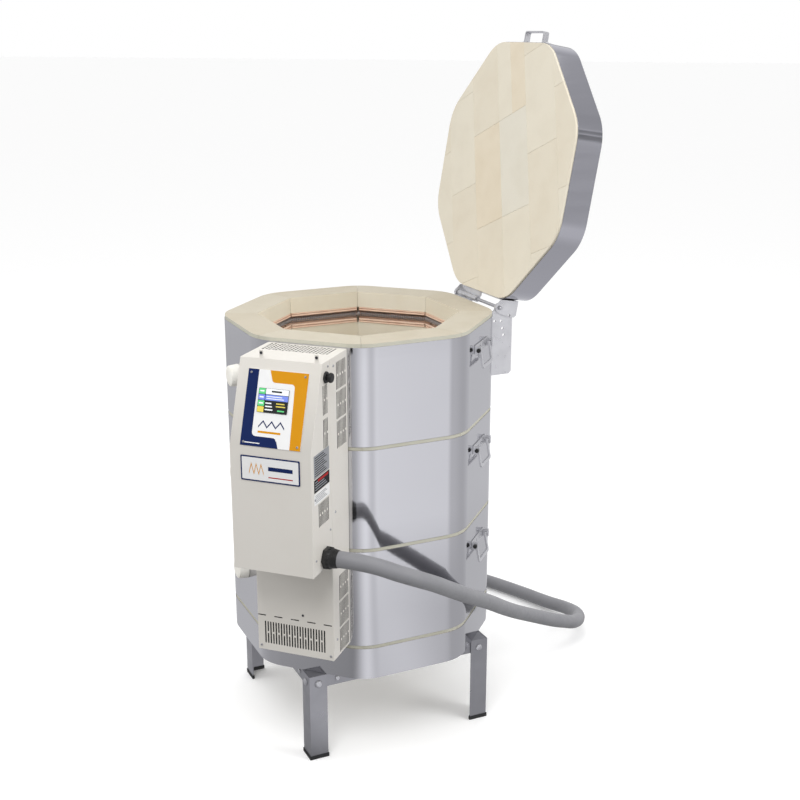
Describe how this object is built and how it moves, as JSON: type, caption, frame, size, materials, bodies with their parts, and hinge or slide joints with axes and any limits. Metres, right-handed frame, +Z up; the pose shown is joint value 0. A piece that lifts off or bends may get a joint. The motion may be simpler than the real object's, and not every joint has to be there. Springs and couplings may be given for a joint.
{
  "type": "electric pottery kiln",
  "caption": "Top-loading octagonal brick kiln on a stand, lid open, with a sheet-metal electrical box, a screen, handles and a heavy power cord.",
  "frame": {"origin": "On the floor, under the middle of the footprint of everything but the cord and its plug, with the lid open.", "axes": "+Z up. -Y is the front, where the control box is. +X is the right side, where the cord comes out. The kiln's own upright axis is at x = -0.0975, y = -0.0178."},
  "size_m": [0.8332, 1.2335, 1.5741],
  "materials": {
    "stand_steel": "satin",
    "cap_rubber": "matt",
    "firebrick": "matt, porous",
    "stainless_steel": "polished, close to a mirror",
    "heating_wire": "oxidised",
    "probe_ceramic": "matt",
    "plug_ceramic": "matt",
    "handle_steel": "satin",
    "hinge_steel": "satin",
    "white_enamel": "powder coat",
    "panel_overlay": "satin",
    "screen_glass": "gloss",
    "nameplate_film": "satin",
    "circuit_board": "satin",
    "transformer_core": "varnished",
    "black_moulding": "matt",
    "black_plastic": "satin",
    "cord_jacket": "matt",
    "plug_rubber": "matt"
  },
  "bodies": {
    "kiln": {"stand_leg_front": "stand_steel", "leg_cap_front": "cap_rubber", "stand_leg_right": "stand_steel", "leg_cap_right": "cap_rubber", "stand_leg_back": "stand_steel", "leg_cap_back": "cap_rubber", "stand_leg_left": "stand_steel", "leg_cap_left": "cap_rubber", "stand_frame": "stand_steel", "floor_slab": "firebrick", "floor_band": "stainless_steel", "ring_brick_1": "firebrick", "ring_jacket_1": "stainless_steel", "ring_brick_2": "firebrick", "ring_jacket_2": "stainless_steel", "ring_brick_3": "firebrick", "ring_jacket_3": "stainless_steel", "heating_element_1": "heating_wire", "heating_element_2": "heating_wire", "heating_element_3": "heating_wire", "thermocouple": "probe_ceramic", "handle_plate_right_1": "handle_steel", "handle_plate_right_2": "handle_steel", "handle_plate_right_3": "handle_steel", "handle_plate_left_1": "handle_steel", "handle_plate_left_2": "handle_steel", "handle_plate_left_3": "handle_steel", "ring_hinge_bracket": "hinge_steel", "hinge_rod": "hinge_steel", "connection_box": "white_enamel", "connection_cover": "white_enamel", "control_box": "white_enamel", "display_panel": "panel_overlay", "touchscreen": "screen_glass", "control_board": "circuit_board", "nameplate": "nameplate_film", "transformer": "transformer_core", "power_relay_1": "black_moulding", "power_relay_2": "black_moulding", "power_relay_3": "black_moulding", "power_terminal_block": "black_moulding", "power_switch_body": "black_plastic", "cord_gland": "black_plastic", "power_cord": "cord_jacket", "power_plug": "plug_rubber"},
    "lid": {"lid_slab": "firebrick", "lid_band": "stainless_steel", "lid_hinge_bracket": "hinge_steel", "lid_handle": "handle_steel"},
    "handle_bail_right_1": {"handle_bail_right_1": "handle_steel"},
    "handle_bail_right_2": {"handle_bail_right_2": "handle_steel"},
    "handle_bail_right_3": {"handle_bail_right_3": "handle_steel"},
    "handle_bail_left_1": {"handle_bail_left_1": "handle_steel"},
    "handle_bail_left_2": {"handle_bail_left_2": "handle_steel"},
    "handle_bail_left_3": {"handle_bail_left_3": "handle_steel"},
    "peephole_plug_1": {"peephole_plug_1": "plug_ceramic"},
    "peephole_plug_2": {"peephole_plug_2": "plug_ceramic"},
    "peephole_plug_3": {"peephole_plug_3": "plug_ceramic"},
    "power_button": {"power_button": "black_plastic"}
  },
  "joints": [
    {"name": "lid_hinge", "type": "hinge", "parent": "kiln", "child": "lid", "pos_m": [0.11888, 0.19857, 0.9668], "axis": [0.7071, -0.7071, 0], "range_deg": [0, 100]},
    {"name": "handle_bail_right_1_hinge", "type": "hinge", "parent": "kiln", "child": "handle_bail_right_1", "pos_m": [0.1988, -0.01781, 0.9118], "axis": [0, -1, 0], "range_deg": [0, 90]},
    {"name": "handle_bail_right_2_hinge", "type": "hinge", "parent": "kiln", "child": "handle_bail_right_2", "pos_m": [0.1988, -0.01781, 0.6832], "axis": [0, -1, 0], "range_deg": [0, 90]},
    {"name": "handle_bail_right_3_hinge", "type": "hinge", "parent": "kiln", "child": "handle_bail_right_3", "pos_m": [0.1988, -0.01781, 0.4546], "axis": [0, -1, 0], "range_deg": [0, 90]},
    {"name": "handle_bail_left_1_hinge", "type": "hinge", "parent": "kiln", "child": "handle_bail_left_1", "pos_m": [-0.3938, -0.01781, 0.9118], "axis": [0, 1, 0], "range_deg": [0, 90]},
    {"name": "handle_bail_left_2_hinge", "type": "hinge", "parent": "kiln", "child": "handle_bail_left_2", "pos_m": [-0.3938, -0.01781, 0.6832], "axis": [0, 1, 0], "range_deg": [0, 90]},
    {"name": "handle_bail_left_3_hinge", "type": "hinge", "parent": "kiln", "child": "handle_bail_left_3", "pos_m": [-0.3938, -0.01781, 0.4546], "axis": [0, 1, 0], "range_deg": [0, 90]},
    {"name": "peephole_plug_1_pull", "type": "slide", "parent": "kiln", "child": "peephole_plug_1", "axis": [-0.7071, -0.7071, 0], "range_m": [0, 0.09]},
    {"name": "peephole_plug_2_pull", "type": "slide", "parent": "kiln", "child": "peephole_plug_2", "axis": [-0.7071, -0.7071, 0], "range_m": [0, 0.09]},
    {"name": "peephole_plug_3_pull", "type": "slide", "parent": "kiln", "child": "peephole_plug_3", "axis": [-0.7071, -0.7071, 0], "range_m": [0, 0.09]},
    {"name": "power_button_press", "type": "slide", "parent": "kiln", "child": "power_button", "axis": [-1, 0, 0], "range_m": [0, 0.003], "stiffness_N_per_m": 700}
  ]
}
